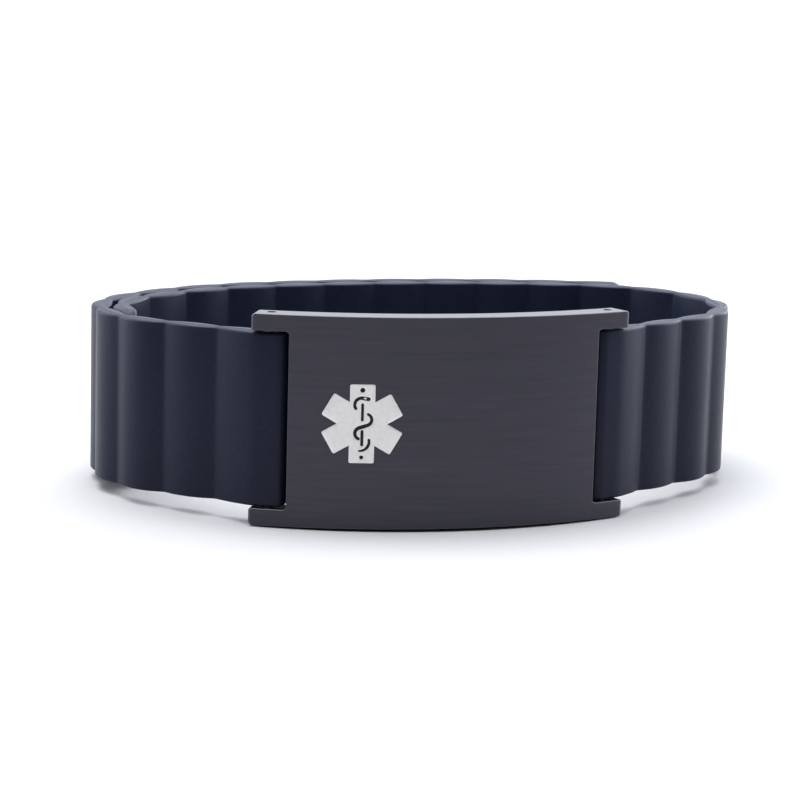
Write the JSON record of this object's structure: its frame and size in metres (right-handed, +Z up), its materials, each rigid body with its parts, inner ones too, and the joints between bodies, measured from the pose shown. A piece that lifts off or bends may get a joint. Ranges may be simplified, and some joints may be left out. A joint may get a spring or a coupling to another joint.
{
  "type": "medical alert bracelet",
  "caption": "Medical alert bracelet: a curved black metal plate with a medical star, held by ribbed silicone straps that overlap along the back.",
  "frame": {"origin": "middle of the loop's box, on the surface that the bracelet stands on", "axes": "+X to the right as seen by someone facing the plate, -Y out of the plate's face, +Z up through the loop"},
  "size_m": [0.0782, 0.0496, 0.0243],
  "materials": {
    "id_plate": "black coated stainless steel with a fine brushed grain along its length, bare bright edges above and below",
    "emblem": "silver, fine satin",
    "left_strap": "matte moulded silicone, very dark blue grey",
    "right_strap": "matte moulded silicone, very dark blue grey",
    "spring_bar_left": "turned steel",
    "spring_bar_right": "turned steel"
  },
  "bodies": {
    "root": {"id_plate": "id_plate", "emblem": "emblem", "left_strap": "left_strap", "right_strap": "right_strap", "spring_bar_left": "spring_bar_left", "spring_bar_right": "spring_bar_right"}
  },
  "joints": []
}
